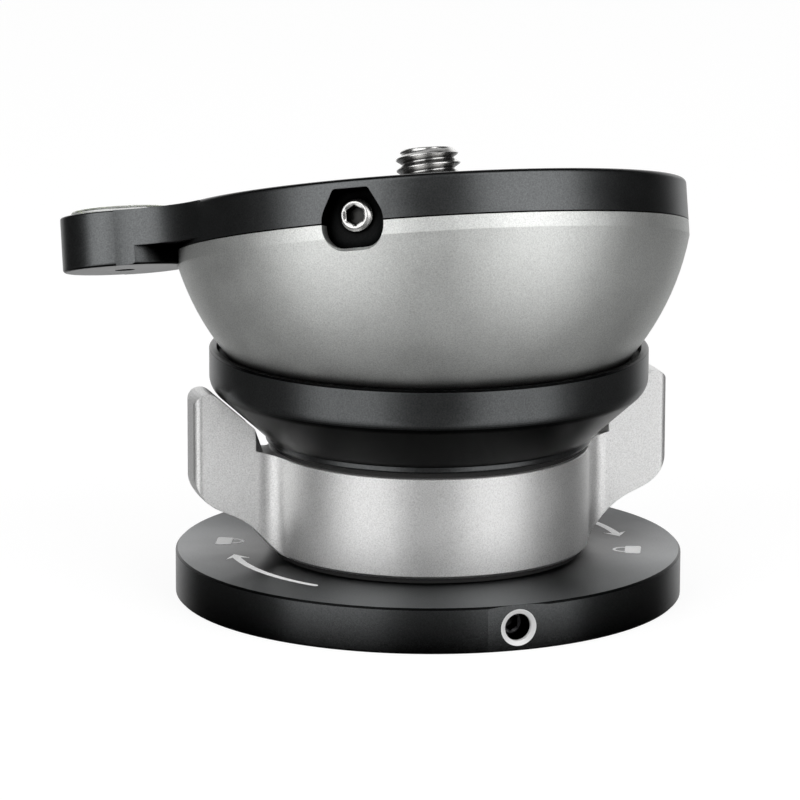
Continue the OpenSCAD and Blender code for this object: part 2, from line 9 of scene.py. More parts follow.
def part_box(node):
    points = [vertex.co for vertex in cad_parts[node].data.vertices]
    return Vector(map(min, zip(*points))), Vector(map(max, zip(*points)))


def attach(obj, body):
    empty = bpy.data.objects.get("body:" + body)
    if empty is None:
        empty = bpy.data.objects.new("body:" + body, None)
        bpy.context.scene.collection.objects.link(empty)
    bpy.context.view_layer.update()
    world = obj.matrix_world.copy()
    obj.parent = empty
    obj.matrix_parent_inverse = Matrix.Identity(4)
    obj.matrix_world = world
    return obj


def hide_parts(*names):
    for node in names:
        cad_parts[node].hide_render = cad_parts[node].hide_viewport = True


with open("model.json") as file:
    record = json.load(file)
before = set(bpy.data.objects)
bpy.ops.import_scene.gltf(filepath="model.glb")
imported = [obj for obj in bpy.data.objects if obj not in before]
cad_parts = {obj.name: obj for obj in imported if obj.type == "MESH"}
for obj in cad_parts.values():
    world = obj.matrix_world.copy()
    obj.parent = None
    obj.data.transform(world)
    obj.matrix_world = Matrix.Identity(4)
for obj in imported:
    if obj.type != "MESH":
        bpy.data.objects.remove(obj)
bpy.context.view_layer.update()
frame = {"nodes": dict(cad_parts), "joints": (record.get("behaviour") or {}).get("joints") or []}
nodes = frame["nodes"]
scene = bpy.context.scene
mm = 0.001
turn = 2 * math.pi
sameWithin = 0.1


# A node tree that is written with expressions
class Wire:
    def __init__(self, tree, socket):
        self.tree, self.socket = tree, socket

    def maths(self, operation, *values):
        return self.tree.add("ShaderNodeMath", (self, *values), operation=operation)

    def after(self, operation, value):
        return self.tree.add("ShaderNodeMath", (value, self), operation=operation)

    def __add__(self, other): return self.maths("ADD", other)
    def __sub__(self, other): return self.maths("SUBTRACT", other)
    def __mul__(self, other): return self.maths("MULTIPLY", other)
    def __truediv__(self, other): return self.maths("DIVIDE", other)
    def __rsub__(self, other): return self.after("SUBTRACT", other)
    def __rtruediv__(self, other): return self.after("DIVIDE", other)
    def __abs__(self): return self.maths("ABSOLUTE")
    def __gt__(self, other): return self.maths("GREATER_THAN", other)
    def __lt__(self, other): return self.maths("LESS_THAN", other)
    __radd__, __rmul__ = __add__, __mul__

    def least(self, other): return self.maths("MINIMUM", other)
    def most(self, other): return self.maths("MAXIMUM", other)
    def held(self): return self.most(0).least(1)
    def equals(self, other): return self.maths("COMPARE", other, sameWithin)


class Tree:
    def __init__(self, nodeTree):
        self.nodes, self.links = nodeTree.nodes, nodeTree.links

    # Settings come first, then the sockets by name or in order
    def add(self, kind, sockets=(), output=0, **settings):
        node = self.nodes.new(kind)
        for name, value in settings.items():
            setattr(node, name, value)
        for name, value in sockets.items() if isinstance(sockets, dict) else enumerate(sockets):
            if isinstance(value, Wire):
                self.links.new(value.socket, node.inputs[name])
            elif value is not None:
                node.inputs[name].default_value = value
        return Wire(self, node.outputs[output]) if node.outputs else None


def grey(level):
    return (level, level, level, 1)


# Camera at the photograph's place, distances in millimetres
cameraView = {"lens": 240.09, "sensor": 36, "place": (0, -778.47, 199.95), "aim": (-4.2958, 2.0, 28.678),
              "roll": 0.191, "clip": (0.01, 20)}


def addCamera(view):
    camera = bpy.data.objects.new("camera", bpy.data.cameras.new("camera"))
    scene.collection.objects.link(camera)
    camera.data.lens, camera.data.sensor_width = view["lens"], view["sensor"]
    camera.data.clip_start, camera.data.clip_end = view["clip"]
    place, aim = Vector(view["place"]) * mm, Vector(view["aim"]) * mm
    back = (place - aim).normalized()
    right = Vector((0, 0, 1)).cross(back).normalized()
    square = Matrix((right, back.cross(right), back)).transposed().to_4x4()
    camera.matrix_world = Matrix.Translation(place) @ square @ Matrix.Rotation(
        math.radians(view["roll"]), 4, "Z")
    scene.camera = camera


addCamera(cameraView)
print("camera in place")

# Studio: two large soft boxes and a faint card in front, a white backdrop behind, and a dark room
# round the camera. The floor is seen from above only
studio = {
    "ambient": 0.40,
    "backdrop": 1.0,
    "mirroredBackdrop": 1.25,
    "backdropFrom": 0.68,
    "backdropFade": 0.2,
    "room": 0.01,
    "floorGap": 0.02,
    "floorSize": 8.0,
    "floorColour": grey(0.17),
    "floorGlow": 0.88,
    "floorMirror": 0.62,
    "floorPolish": 0.15,
    "slantGain": 2.2,
    "slantLoss": 0.2,
    "aim": (0, 0, 30),
    "lamps": {
        "leftBox": {"turn": -43, "rise": 27, "away": 1.1, "size": (0.95, 1.1), "shine": 1.95},
        "rightBox": {"turn": 47, "rise": 27, "away": 1.1, "size": (0.95, 1.1), "shine": 1.95},
        "frontCard": {"turn": 2, "rise": 22, "away": 1.15, "size": (0.5, 1.0), "shine": 0.1},
        "topBox": {"turn": 10, "rise": 84, "away": 1.2, "size": (0.8, 0.8), "shine": 0.4},
        "backBox": {"turn": 180, "rise": 50, "away": 1.3, "size": (1.0, 0.5), "shine": 0.4},
    },
}


# A lamp's shine is its brightness where metal mirrors it, 1 being white
def addLamp(name, lamp, centre):
    data = bpy.data.lights.new(name, "AREA")
    data.shape, (data.size, data.size_y) = "RECTANGLE", lamp["size"]
    data.energy = lamp["shine"] * math.pi * data.size * data.size_y
    box = bpy.data.objects.new(name, data)
    scene.collection.objects.link(box)
    across, up = math.radians(lamp["turn"] - 90), math.radians(lamp["rise"])
    way = Vector((math.cos(across) * math.cos(up), math.sin(across) * math.cos(up), math.sin(up)))
    box.location = centre + way * lamp["away"]
    box.rotation_euler = way.to_track_quat("Z", "Y").to_euler()
    box.visible_camera = False


# Which rays show the surroundings themselves: the camera's, and those that metal and glass send on
def viewRays(tree):
    camera, gloss, glass = (tree.add("ShaderNodeLightPath", output=name) for name in
                            ("Is Camera Ray", "Is Glossy Ray", "Is Transmission Ray"))
    return camera, gloss.most(glass)


def addWorld(settings):
    world = bpy.data.worlds.new("backdrop")
    world.use_nodes = True
    world.node_tree.nodes.clear()
    tree = Tree(world.node_tree)
    camera, mirrored = viewRays(tree)
    way = tree.add("ShaderNodeTexCoord", output="Generated")
    depth = tree.add("ShaderNodeSeparateXYZ", [way], output="Y")
    behind = ((depth - settings["backdropFrom"]) / settings["backdropFade"]).held()
    shown = settings["room"] + (settings["mirroredBackdrop"] - settings["room"]) * behind
    strength = settings["ambient"] + mirrored * (shown - settings["ambient"])
    strength = strength + camera * (settings["backdrop"] - strength)
    light = tree.add("ShaderNodeBackground", {"Color": grey(1), "Strength": strength})
    tree.add("ShaderNodeOutputWorld", {"Surface": light})
    scene.world = world


def addFloor(settings):
    half = settings["floorSize"] / 2
    mesh = bpy.data.meshes.new("floor")
    mesh.from_pydata([(-half, -half, 0), (half, -half, 0), (half, half, 0), (-half, half, 0)], [],
                     [(0, 1, 2, 3)])
    floor = bpy.data.objects.new("floor", mesh)
    scene.collection.objects.link(floor)
    material = bpy.data.materials.new("paleFloor")
    material.use_nodes = True
    material.node_tree.nodes.clear()
    tree = Tree(material.node_tree)
    camera, mirrored = viewRays(tree)
    paint = tree.add("ShaderNodeBsdfDiffuse", {"Color": settings["floorColour"]})
    glow = tree.add("ShaderNodeEmission", {"Color": grey(1), "Strength": settings["floorGlow"] * camera})
    polish = tree.add("ShaderNodeBsdfAnisotropic", {"Color": grey(1), "Roughness": settings["floorPolish"]})
    matt = tree.add("ShaderNodeAddShader", [paint, glow])
    slant = tree.add("ShaderNodeLayerWeight", output="Facing")
    slanted = (slant * settings["slantGain"] - settings["slantLoss"]).held()
    share = mirrored * settings["floorMirror"] * slanted
    solid = tree.add("ShaderNodeMixShader", [share, matt, polish])
    below = tree.add("ShaderNodeNewGeometry", output="Backfacing")
    nothing = tree.add("ShaderNodeBsdfTransparent")
    seen = tree.add("ShaderNodeMixShader", [below, solid, nothing])
    tree.add("ShaderNodeOutputMaterial", {"Surface": seen})
    mesh.materials.append(material)
    floor.location.z = -settings["floorGap"] * mm


def addStudio(settings):
    for name, lamp in settings["lamps"].items():
        addLamp(name, lamp, Vector(settings["aim"]) * mm)
    addWorld(settings)
    addFloor(settings)
    scene.view_settings.view_transform = "Standard"


addStudio(studio)
print("studio lit")

# The leaning head's own frame: its origin is the ball's centre, its Z the stud's axis
headTurn = next(joint for joint in frame["joints"] if joint["name"] == "head_turn")
headUp = Vector(headTurn["axis"]).normalized()
headFrame = Matrix.Translation(Vector(headTurn["pos_m"])) @ \
    Vector((0, 0, 1)).rotation_difference(headUp).to_matrix().to_4x4()


def boxIn(matrix, name):
    spots = [matrix.inverted() @ vertex.co for vertex in nodes[name].data.vertices]
    return (Vector(map(min, *spots)), Vector(map(max, *spots)))


# Finishes, with lengths in millimetres. Each black piece has its own material, made further down
# A finish's shade is painted shade: its colour is darkened by ambient occlusion within its reach, fully dark
# below the black openness and unchanged above the clear one
blacks = {
    "anodised": {"colour": (0.108, 0.112, 0.114, 1), "metallic": 1.0, "roughness": 0.32,
                 "shade": {"reach": 12.0, "black": 0.5, "clear": 0.9},
                 "grainSize": 0.22, "grainDepth": 0.008, "mottle": 0.5},
    "turned": {"colour": (0.108, 0.112, 0.114, 1), "metallic": 1.0, "roughness": 0.47, "grooves": 0.9,
               "grooveTurn": 0.25, "shade": {"reach": 16.0, "black": 0.52, "clear": 0.95},
               "grainSize": 0.22, "grainDepth": 0.006, "mottle": 0.4},
}
finishes = {
    "silverAnodised": {"colour": (0.90, 0.90, 0.895, 1), "metallic": 1.0, "roughness": 0.5,
                       "grainSize": 0.2, "grainDepth": 0.02, "mottle": 0.36},
    "greyAnodised": {"colour": (0.82, 0.832, 0.815, 1), "metallic": 1.0, "roughness": 0.5,
                     "shade": {"reach": 5.0, "black": 0.1, "clear": 0.75},
                     "grainSize": 0.2, "grainDepth": 0.02, "mottle": 0.36},
    "brightSteel": {"colour": (0.68, 0.675, 0.665, 1), "metallic": 1.0, "roughness": 0.26,
                    "shade": {"reach": 1.6, "black": 0.3, "clear": 0.7},
                    "grainSize": 0.5, "grainDepth": 0.002, "mottle": 0.06},
    "blackSteel": {"colour": (0.045, 0.045, 0.048, 1), "metallic": 0.6, "roughness": 0.34,
                   "grainSize": 0.3, "grainDepth": 0.003, "mottle": 0.15},
    "plainAluminium": {"colour": (0.74, 0.74, 0.745, 1), "metallic": 1.0, "roughness": 0.3,
                       "grainSize": 0.4, "grainDepth": 0.004, "mottle": 0.08},
    "springSteel": {"colour": (0.36, 0.355, 0.35, 1), "metallic": 1.0, "roughness": 0.3,
                    "grainSize": 0.3, "grainDepth": 0.002, "mottle": 0.1},
    "whitePlastic": {"colour": (0.80, 0.80, 0.76, 1), "metallic": 0.0, "roughness": 0.45,
                     "grainSize": 0.5, "grainDepth": 0.004, "mottle": 0.03},
    "blackPlastic": {"colour": (0.012, 0.012, 0.012, 1), "metallic": 0.0, "roughness": 0.6,
                     "grainSize": 0.4, "grainDepth": 0.006, "mottle": 0.1},
    "etchedMark": {"colour": (0.93, 0.93, 0.93, 1), "metallic": 0.0, "roughness": 0.6,
                   "grainSize": 0.15, "grainDepth": 0.01, "mottle": 0.15},
}


noiseRoughness, cloudSize, cloudShare, cloudRough = 0.6, 9.0, 0.6, 0.25
edgeRadius = 0.15
# Faces count as walls and decks by how far they face up, and are slopes in between
slopes = {"wall": 0.3, "wallFade": 0.25, "deck": 0.98, "deckFade": 0.05}
# The colour sockets of a Mix node, by place
mixFirst, mixSecond, mixResult = 6, 7, 2


def startMaterial(name):
    material = bpy.data.materials.new(name)
    material.use_nodes = True
    material.node_tree.nodes.clear()
    tree = Tree(material.node_tree)
    place = tree.add("ShaderNodeTexCoord", output="Object")
    return material, tree, place


def noiseOf(tree, place, size, detail=2.0):
    return tree.add("ShaderNodeTexNoise", {"Vector": place, "Scale": 1 / (size * mm), "Detail": detail,
                                           "Roughness": noiseRoughness})


def dotOf(tree, vector, way):
    return tree.add("ShaderNodeVectorMath", [vector, tuple(way)], output="Value", operation="DOT_PRODUCT")


# 1 on faces that slope, such as bevels and the cup's cone, and 0 on decks and walls
def slopeOf(tree, up):
    lean = abs(dotOf(tree, tree.add("ShaderNodeTexCoord", output="Normal"), up))
    return ((lean - slopes["wall"]) / slopes["wallFade"]).held() * \
        ((slopes["deck"] - lean) / slopes["deckFade"]).held()


# Full light, and the given light where the mask is 1
def dimmed(mask, light):
    return 1 - (1 - light) * mask


# Grain and mottle of a finish: its colour, roughness and normal. The colour is multiplied by the given light,
# which carries painted light and shade, and by painted shade from ambient occlusion where the finish has a
# shade
def surfaceOf(tree, place, finish, light=1.0):
    grain = noiseOf(tree, place, finish["grainSize"])
    cloud = noiseOf(tree, place, cloudSize)
    shade = light * (1 + finish["mottle"] * ((grain - 0.5) * 2 + (cloud - 0.5) * cloudShare))
    # Painted shade: the colour is darkened where ambient occlusion finds hollows and overhangs
    if "shade" in finish:
        limits = finish["shade"]
        openness = tree.add("ShaderNodeAmbientOcclusion", {"Distance": limits["reach"] * mm}, output="AO",
                            samples=8)
        shade = shade * ((openness - limits["black"]) / (limits["clear"] - limits["black"])).held()
    tint = tree.add("ShaderNodeCombineColor", [shade, shade, shade])
    colour = tree.add("ShaderNodeMix", {"Factor": 1.0, mixFirst: finish["colour"], mixSecond: tint},
                      output=mixResult, data_type="RGBA", blend_type="MULTIPLY")
    rough = finish["roughness"] * (1 + cloudRough * (cloud - 0.5))
    rounded = tree.add("ShaderNodeBevel", {"Radius": edgeRadius * mm}, samples=4)
    normal = tree.add("ShaderNodeBump", {"Height": grain, "Distance": finish["grainDepth"] * mm,
                                         "Strength": 1.0, "Normal": rounded})
    return colour, rough, normal


# Ends a material with a finish as it is, save for the given light, which is painted light and shade in its
# colour
def coat(material, tree, place, finish, light=1.0):
    colour, rough, normal = surfaceOf(tree, place, finish, light)
    shader = tree.add("ShaderNodeBsdfPrincipled", {
        "Base Color": colour, "Roughness": rough, "Normal": normal, "Metallic": finish["metallic"]})
    tree.add("ShaderNodeOutputMaterial", {"Surface": shader})
    return material


def addFinish(name, finish):
    return coat(*startMaterial(name), finish)


materials = {name: addFinish(name, finish) for name, finish in finishes.items()}

# Black pieces get painted shade on their bevels and slopes: their colour is darkened there
paintedSlopeShade = 0.07


def addCupFinish():
    material, tree, place = startMaterial("blackAnodisedCup")
    light = dimmed(slopeOf(tree, (0, 0, 1)), paintedSlopeShade)
    return coat(material, tree, place, blacks["anodised"], light)


# The pocket for the stud's set screw gets painted shade inside: its colour is darkened nearly to black
pocket = {"turn": -107.2, "halfWidth": 5.4, "inset": 0.6, "depth": 7.0, "roof": 0.1, "light": 0.12}


def addPlateFinish():
    material, tree, place = startMaterial("blackAnodisedPlate")
    outwards = (headFrame.to_3x3() @ Matrix.Rotation(math.radians(pocket["turn"]), 3, "Z")).transposed()
    middle = headFrame.translation
    along = dotOf(tree, place, outwards[0]) - middle.dot(outwards[0])
    beside = dotOf(tree, place, outwards[1]) - middle.dot(outwards[1])
    lift = dotOf(tree, place, headUp) - middle.dot(headUp)
    high = boxIn(headFrame, "top_plate")[1]
    rim, ceiling = high.y - pocket["inset"] * mm, high.z - pocket["roof"] * mm
    inside = (along < rim) * (along > rim - pocket["depth"] * mm) * (lift < ceiling) * \
        (abs(beside) < pocket["halfWidth"] * mm)
    # Painted shade on slopes and inside the pocket
    light = dimmed(slopeOf(tree, headUp), paintedSlopeShade) * dimmed(inside, pocket["light"])
    return coat(material, tree, place, blacks["anodised"], light)


materials["blackAnodisedCup"] = addCupFinish()
materials["blackAnodisedPlate"] = addPlateFinish()

# The anodising is cut away on the bevel round the hole in the base disc's side
sideHole = {"turn": 20.4, "bevelRadius": 2.72, "depth": 1.1, "colour": grey(0.86), "metal": 0.25}
# The base's colour is brightened by painted light, more on its top deck than on its walls
paintedBaseLight = {"wall": 1.6, "deck": 1.75}


def addBaseFinish():
    finish = blacks["turned"]
    material, tree, place = startMaterial("turnedBlackBase")
    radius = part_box("base_plate")[1].x
    screwLow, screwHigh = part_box("base_set_screw")
    height = (screwLow.z + screwHigh.z) / 2
    across = math.radians(sideHole["turn"] - 90)
    along = dotOf(tree, place, (math.cos(across), math.sin(across), 0))
    beside = dotOf(tree, place, (-math.sin(across), math.cos(across), 0))
    rise = tree.add("ShaderNodeSeparateXYZ", [place], output="Z") - height
    reach = (beside * beside + rise * rise).maths("SQRT")
    cut = (along > radius - sideHole["depth"] * mm) * (reach < sideHole["bevelRadius"] * mm)
    deck = abs(dotOf(tree, tree.add("ShaderNodeTexCoord", output="Normal"), (0, 0, 1))) > slopes["deck"]
    light = (paintedBaseLight["wall"] + (paintedBaseLight["deck"] - paintedBaseLight["wall"]) * deck) * \
        dimmed(slopeOf(tree, (0, 0, 1)), paintedSlopeShade)
    colour, rough, normal = surfaceOf(tree, place, finish, light)
    colour = tree.add("ShaderNodeMix", {"Factor": cut, mixFirst: colour, mixSecond: sideHole["colour"]},
                      output=mixResult, data_type="RGBA")
    shader = tree.add("ShaderNodeBsdfPrincipled", {
        "Base Color": colour, "Roughness": rough, "Normal": normal, "Anisotropic": finish["grooves"],
        "Metallic": dimmed(cut, sideHole["metal"]), "Anisotropic Rotation": finish["grooveTurn"]})
    tree.add("ShaderNodeOutputMaterial", {"Surface": shader})
    return material


materials["turnedBlackBase"] = addBaseFinish()

# The round level's clear pieces
ripple = {"size": 1.5, "depth": 0.002}
# The level fluid's glow is painted light: the fluid shines from within, in place of the lamps' light through
# the vial
clear = {"clearPlastic": {"colour": (0.97, 0.985, 0.97, 1), "ior": 1.49, "roughness": 0.02, "alpha": 0.8,
                          "glow": 0.0},
         "levelFluid": {"colour": (0.74, 0.92, 0.20, 1), "ior": 1.36, "roughness": 0.0, "alpha": 0.75,
                        "glow": 0.08}}


def addClear(name, finish):
    material, tree, place = startMaterial(name)
    wave = noiseOf(tree, place, ripple["size"])
    normal = tree.add("ShaderNodeBump", {"Height": wave, "Distance": ripple["depth"] * mm, "Strength": 1.0})
    shader = tree.add("ShaderNodeBsdfPrincipled", {
        "Base Color": finish["colour"], "Roughness": finish["roughness"], "IOR": finish["ior"],
        "Transmission Weight": 1.0, "Alpha": finish["alpha"], "Normal": normal,
        "Emission Color": finish["colour"], "Emission Strength": finish["glow"]})
    tree.add("ShaderNodeOutputMaterial", {"Surface": shader})
    return material


for name, finish in clear.items():
    materials[name] = addClear(name, finish)

# Which solids have which finish
nodeFinishes = {
    "turnedBlackBase": ("base_plate",),
    "blackAnodisedCup": ("cup",),
    "blackAnodisedPlate": ("top_plate",),
    "silverAnodised": ("lever_ring",),
    "greyAnodised": ("half_ball",),
    "brightSteel": ("base_bush", "thrust_washer", "clamp_nut", "draw_bolt", "bolt_washer",
                    "mount_stud", "stud_retainer", "stud_set_screw"),
    "blackSteel": ("base_set_screw", "hub_screws", "plate_screws"),
    "plainAluminium": ("clamp_cap", "stop_sleeve"),
    "springSteel": ("lift_spring",),
    "whitePlastic": ("slip_washer", "vial_base"),
    "blackPlastic": ("lower_slide_washer", "upper_slide_washer", "seat_ring"),
    "clearPlastic": ("vial_body",),
    "levelFluid": ("vial_fluid",),
}
for finish, names in nodeFinishes.items():
    for name in names:
        nodes[name].data.materials.clear()
        nodes[name].data.materials.append(materials[finish])
print("finishes on", len(nodes), "nodes")


# Adds a finished mesh as a piece that moves with a body
def addPiece(name, mesh, body, replaced=()):
    mesh.name = name
    piece = bpy.data.objects.new(name, mesh)
    scene.collection.objects.link(piece)
    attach(piece, body)
    if replaced:
        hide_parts(*replaced)
    return piece


# Turned pieces: a profile in X and Z is spun round Z, with hexagons and threads where its points say so
roundPoint, hexPoint, threadPoint = 0, 1, 2
threadRowsPerTurn = 8
threadFlat = 0.125
rowSlack = 0.0001
seamGap, thinEdge, sharpFrom = 1e-6, 1e-7, 30
noThread = {"pitch": 1, "depth": 0, "start": 0, "end": 0, "bevel": 0}


def latheTree():
    group = bpy.data.node_groups.new("lathe", "GeometryNodeTree")
    kinds = {"Profile": "Geometry", "Segments": "Int", "Pitch": "Float", "Depth": "Float", "Start": "Float",
             "End": "Float", "Bevel": "Float", "Places": "Object", "Finish": "Material"}
    for name, kind in kinds.items():
        group.interface.new_socket(name, in_out="INPUT", socket_type="NodeSocket" + kind)
    group.interface.new_socket("Mesh", in_out="OUTPUT", socket_type="NodeSocketGeometry")
    tree = Tree(group)
    entry = group.nodes.new("NodeGroupInput")
    given = {name: Wire(tree, entry.outputs[name]) for name in kinds}
    columns = given["Segments"] + 1
    rows = tree.add("GeometryNodeAttributeDomainSize", [given["Profile"]], component="MESH")
    grid = tree.add("GeometryNodeMeshGrid", {"Vertices X": rows, "Vertices Y": columns})
    index = tree.add("GeometryNodeInputIndex")
    row = (index / columns + rowSlack).maths("FLOOR")
    share = (index - row * columns) / given["Segments"]
    angle = share * turn
    place = tree.add("GeometryNodeSampleIndex", {
        "Geometry": given["Profile"], "Value": tree.add("GeometryNodeInputPosition"), "Index": row},
        data_type="FLOAT_VECTOR")
    kind = tree.add("GeometryNodeSampleIndex", {
        "Geometry": given["Profile"], "Index": row,
        "Value": tree.add("GeometryNodeInputNamedAttribute", {"Name": "kind"}, data_type="FLOAT")},
        data_type="FLOAT")
    radius = tree.add("ShaderNodeSeparateXYZ", [place], output="X")
    height = tree.add("ShaderNodeSeparateXYZ", [place], output="Z")

    # A hexagon's wall is as far out as its corner asks
    sixth = share * 6
    off = (sixth.maths("FRACT") - 0.5) * (turn / 6)
    hexRadius = radius / off.maths("COSINE")

    # A thread's rows climb with the turn and are held between its two ends
    climbed = (height + given["Pitch"] * share).most(given["Start"]).least(given["End"])
    wave = (climbed - given["Start"]) / given["Pitch"] - share + 1
    ridge = (abs(wave.maths("FRACT") * 2 - 1) - threadFlat) / (1 - 2 * threadFlat)
    sunk = radius - given["Depth"] * (1 - ridge.held())
    side = given["Depth"].maths("SIGN")
    fromEnd = (climbed - given["Start"]).least(given["End"] - climbed)
    bevelled = side * (side * sunk).least(side * radius - given["Bevel"] + fromEnd)

    isHex, isThread = kind.equals(hexPoint), kind.equals(threadPoint)
    radius = radius + isHex * (hexRadius - radius) + isThread * (bevelled - radius)
    height = height + isThread * (climbed - height)
    spot = tree.add("ShaderNodeCombineXYZ", [radius * angle.maths("COSINE"),
                                             radius * angle.maths("SINE"), height])
    spun = tree.add("GeometryNodeSetPosition", {"Geometry": grid, "Position": spot})
    merged = tree.add("GeometryNodeMergeByDistance", {"Geometry": spun, "Distance": seamGap})
    places = tree.add("GeometryNodeObjectInfo", {"Object": given["Places"]}, output="Geometry")
    copies = tree.add("GeometryNodeInstanceOnPoints", {"Points": places, "Instance": merged})
    real = tree.add("GeometryNodeRealizeInstances", [copies])
    done = tree.add("GeometryNodeSetMaterial", {"Geometry": real, "Material": given["Finish"]})
    tree.links.new(done.socket, group.nodes.new("NodeGroupOutput").inputs[0])
    return group


lathe = latheTree()


def threadRows(radius, pitch, start, end):
    count = round(((end - start) / pitch + 1) * threadRowsPerTurn) + 1
    step = pitch / threadRowsPerTurn
    return [(radius, start - pitch + (row + 0.5) * step, threadPoint) for row in range(count)]


def carrierOf(name, spots):
    mesh = bpy.data.meshes.new(name)
    mesh.from_pydata(spots, [], [])
    carrier = bpy.data.objects.new(name, mesh)
    scene.collection.objects.link(carrier)
    return carrier


# Spins a profile in millimetres into a closed mesh, with one copy at each place
def spin(profile, finish, segments, thread=noThread, places=((0, 0, 0),), matrix=Matrix()):
    carrier = carrierOf("profile", [(radius * mm, 0, height * mm) for radius, height, _ in profile])
    kinds = carrier.data.attributes.new("kind", "FLOAT", "POINT")
    kinds.data.foreach_set("value", [float(kind) for _, _, kind in profile])
    spots = carrierOf("places", [tuple(Vector(place) * mm) for place in places])
    values = {"Segments": segments, "Pitch": thread["pitch"] * mm, "Depth": thread["depth"] * mm,
              "Start": thread["start"] * mm, "End": thread["end"] * mm, "Bevel": thread["bevel"] * mm,
              "Places": spots, "Finish": materials[finish]}
    modifier = carrier.modifiers.new("lathe", "NODES")
    modifier.node_group = lathe
    for item in lathe.interface.items_tree:
        if item.name in values:
            modifier[item.identifier] = values[item.name]
    graph = bpy.context.evaluated_depsgraph_get()
    mesh = bpy.data.meshes.new_from_object(carrier.evaluated_get(graph), depsgraph=graph)
    for helper in (carrier, spots):
        bpy.data.objects.remove(helper)
    return tidyMesh(mesh, matrix)


# Closes a mesh's seams, points its faces outwards, puts it in place and shades it
def tidyMesh(mesh, matrix=Matrix()):
    shape = bmesh.new()
    shape.from_mesh(mesh)
    bmesh.ops.remove_doubles(shape, verts=shape.verts, dist=seamGap)
    bmesh.ops.dissolve_degenerate(shape, edges=shape.edges, dist=thinEdge)
    bmesh.ops.recalc_face_normals(shape, faces=shape.faces)
    for face in shape.faces:
        face.smooth = True
    shape.to_mesh(mesh)
    shape.free()
    mesh.transform(matrix)
    mesh.set_sharp_from_angle(angle=math.radians(sharpFrom))
    return mesh


# Stud for the tripod head
inch = 25.4
stud = {"threadRadius": 0.375 * inch / 2, "pitch": inch / 16, "depth": 0.9, "bevel": 1.0,
        "neckRadius": 5.3, "neckTop": -1.6, "collarRadius": 7.0, "collarHeight": 3.58, "segments": 96}


def addStud():
    low, high = boxIn(headFrame, "mount_stud")
    bottom, top = low.z / mm, high.z / mm
    collarTop = bottom + stud["collarHeight"]
    thread = {"pitch": stud["pitch"], "depth": stud["depth"], "start": stud["neckTop"], "end": top,
              "bevel": stud["bevel"]}
    profile = [(0, bottom, roundPoint), (stud["collarRadius"], bottom, roundPoint),
               (stud["collarRadius"], collarTop, roundPoint), (stud["neckRadius"], collarTop, roundPoint),
               (stud["neckRadius"], stud["neckTop"], roundPoint)]
    profile += threadRows(stud["threadRadius"], stud["pitch"], stud["neckTop"], top)
    profile += [(0, top, roundPoint)]
    mesh = spin(profile, "brightSteel", stud["segments"], thread, matrix=headFrame)
    addPiece("threadedStud", mesh, "head", ["mount_stud"])


addStud()
print("stud cut")

# Bush with the tripod thread inside
bush = {"radius": 7.5, "flangeRadius": 9.0, "flangeHeight": 0.98,
        "minorRadius": stud["threadRadius"] - stud["depth"], "depth": -stud["depth"], "bevel": 0.9}


def addBush():
    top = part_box("base_bush")[1].z / mm
    thread = {"pitch": stud["pitch"], "depth": bush["depth"], "start": 0, "end": top, "bevel": bush["bevel"]}
    profile = threadRows(bush["minorRadius"], stud["pitch"], 0, top)
    profile += [(bush["radius"], top, roundPoint), (bush["radius"], bush["flangeHeight"], roundPoint),
                (bush["flangeRadius"], bush["flangeHeight"], roundPoint),
                (bush["flangeRadius"], 0, roundPoint)]
    profile += profile[:1]
    mesh = spin(profile, "brightSteel", stud["segments"], thread)
    addPiece("threadedBush", mesh, "base", ["base_bush"])


addBush()
print("bush cut")

# Countersunk screws with hexagon sockets: head at height 0, shank downwards
hubScrews = {"radius": 2.0, "pitch": 0.7, "depth": 0.43, "length": 14.0, "circle": 15.25, "turns": 18,
             "leg": 209.5, "rise": 0.3}
plateScrews = {"radius": 1.5, "pitch": 0.5, "depth": 0.31, "length": 12.0, "circle": 33.6, "drop": -1.8}
screwSegments = 48
# Shares of the shank's radius
sunkHead = {"width": 2, "socket": 0.62, "deep": 0.9, "point": 0.25, "mouth": 0.12}
# Bevels and gaps in millimetres, and how much wider than its flats a hexagon's mouth is
headEdge, headBevel, threadStart, socketFlare = 0.1, 0.12, 0.4, 1.16


def countersunk(screw):
    radius, start = screw["radius"], -screw["length"]
    head, socket, deep, point, mouth = (sunkHead[name] * radius for name in sunkHead)
    profile = [(0, -deep - point, roundPoint), (socket, -deep, hexPoint), (socket, -mouth, hexPoint),
               (socket * socketFlare + headEdge, 0, roundPoint), (head - headBevel, 0, roundPoint),
               (head, -headEdge, roundPoint), (radius, -radius - headEdge, roundPoint)]
    end = -radius - threadStart
    profile += list(reversed(threadRows(radius, screw["pitch"], start, end)))
    profile += [(0, start, roundPoint)]
    thread = {"pitch": screw["pitch"], "depth": screw["depth"], "start": start, "end": end,
              "bevel": screw["depth"]}
    return profile, thread


# Places on a circle, at angles in degrees
def onCircle(circle, angles, height):
    return [(circle * math.cos(math.radians(angle)), circle * math.sin(math.radians(angle)), height)
            for angle in angles]


def addScrews():
    profile, thread = countersunk(hubScrews)
    angles = [-hubScrews["leg"] - leg - side * hubScrews["turns"] for leg in (0, 180) for side in (-1, 1)]
    flipped = Matrix.Translation((0, 0, hubScrews["rise"] * mm)) @ Matrix.Rotation(math.pi, 4, "X")
    places = onCircle(hubScrews["circle"], angles, 0)
    mesh = spin(profile, "blackSteel", screwSegments, thread, places, flipped)
    addPiece("hubScrews", mesh, "base", ["hub_screws"])
    profile, thread = countersunk(plateScrews)
    places = onCircle(plateScrews["circle"], (45, 135, 225, 315), plateScrews["drop"])
    mesh = spin(profile, "blackSteel", screwSegments, thread, places, headFrame)
    addPiece("plateScrews", mesh, "head", ["plate_screws"])


addScrews()
print("screws placed")

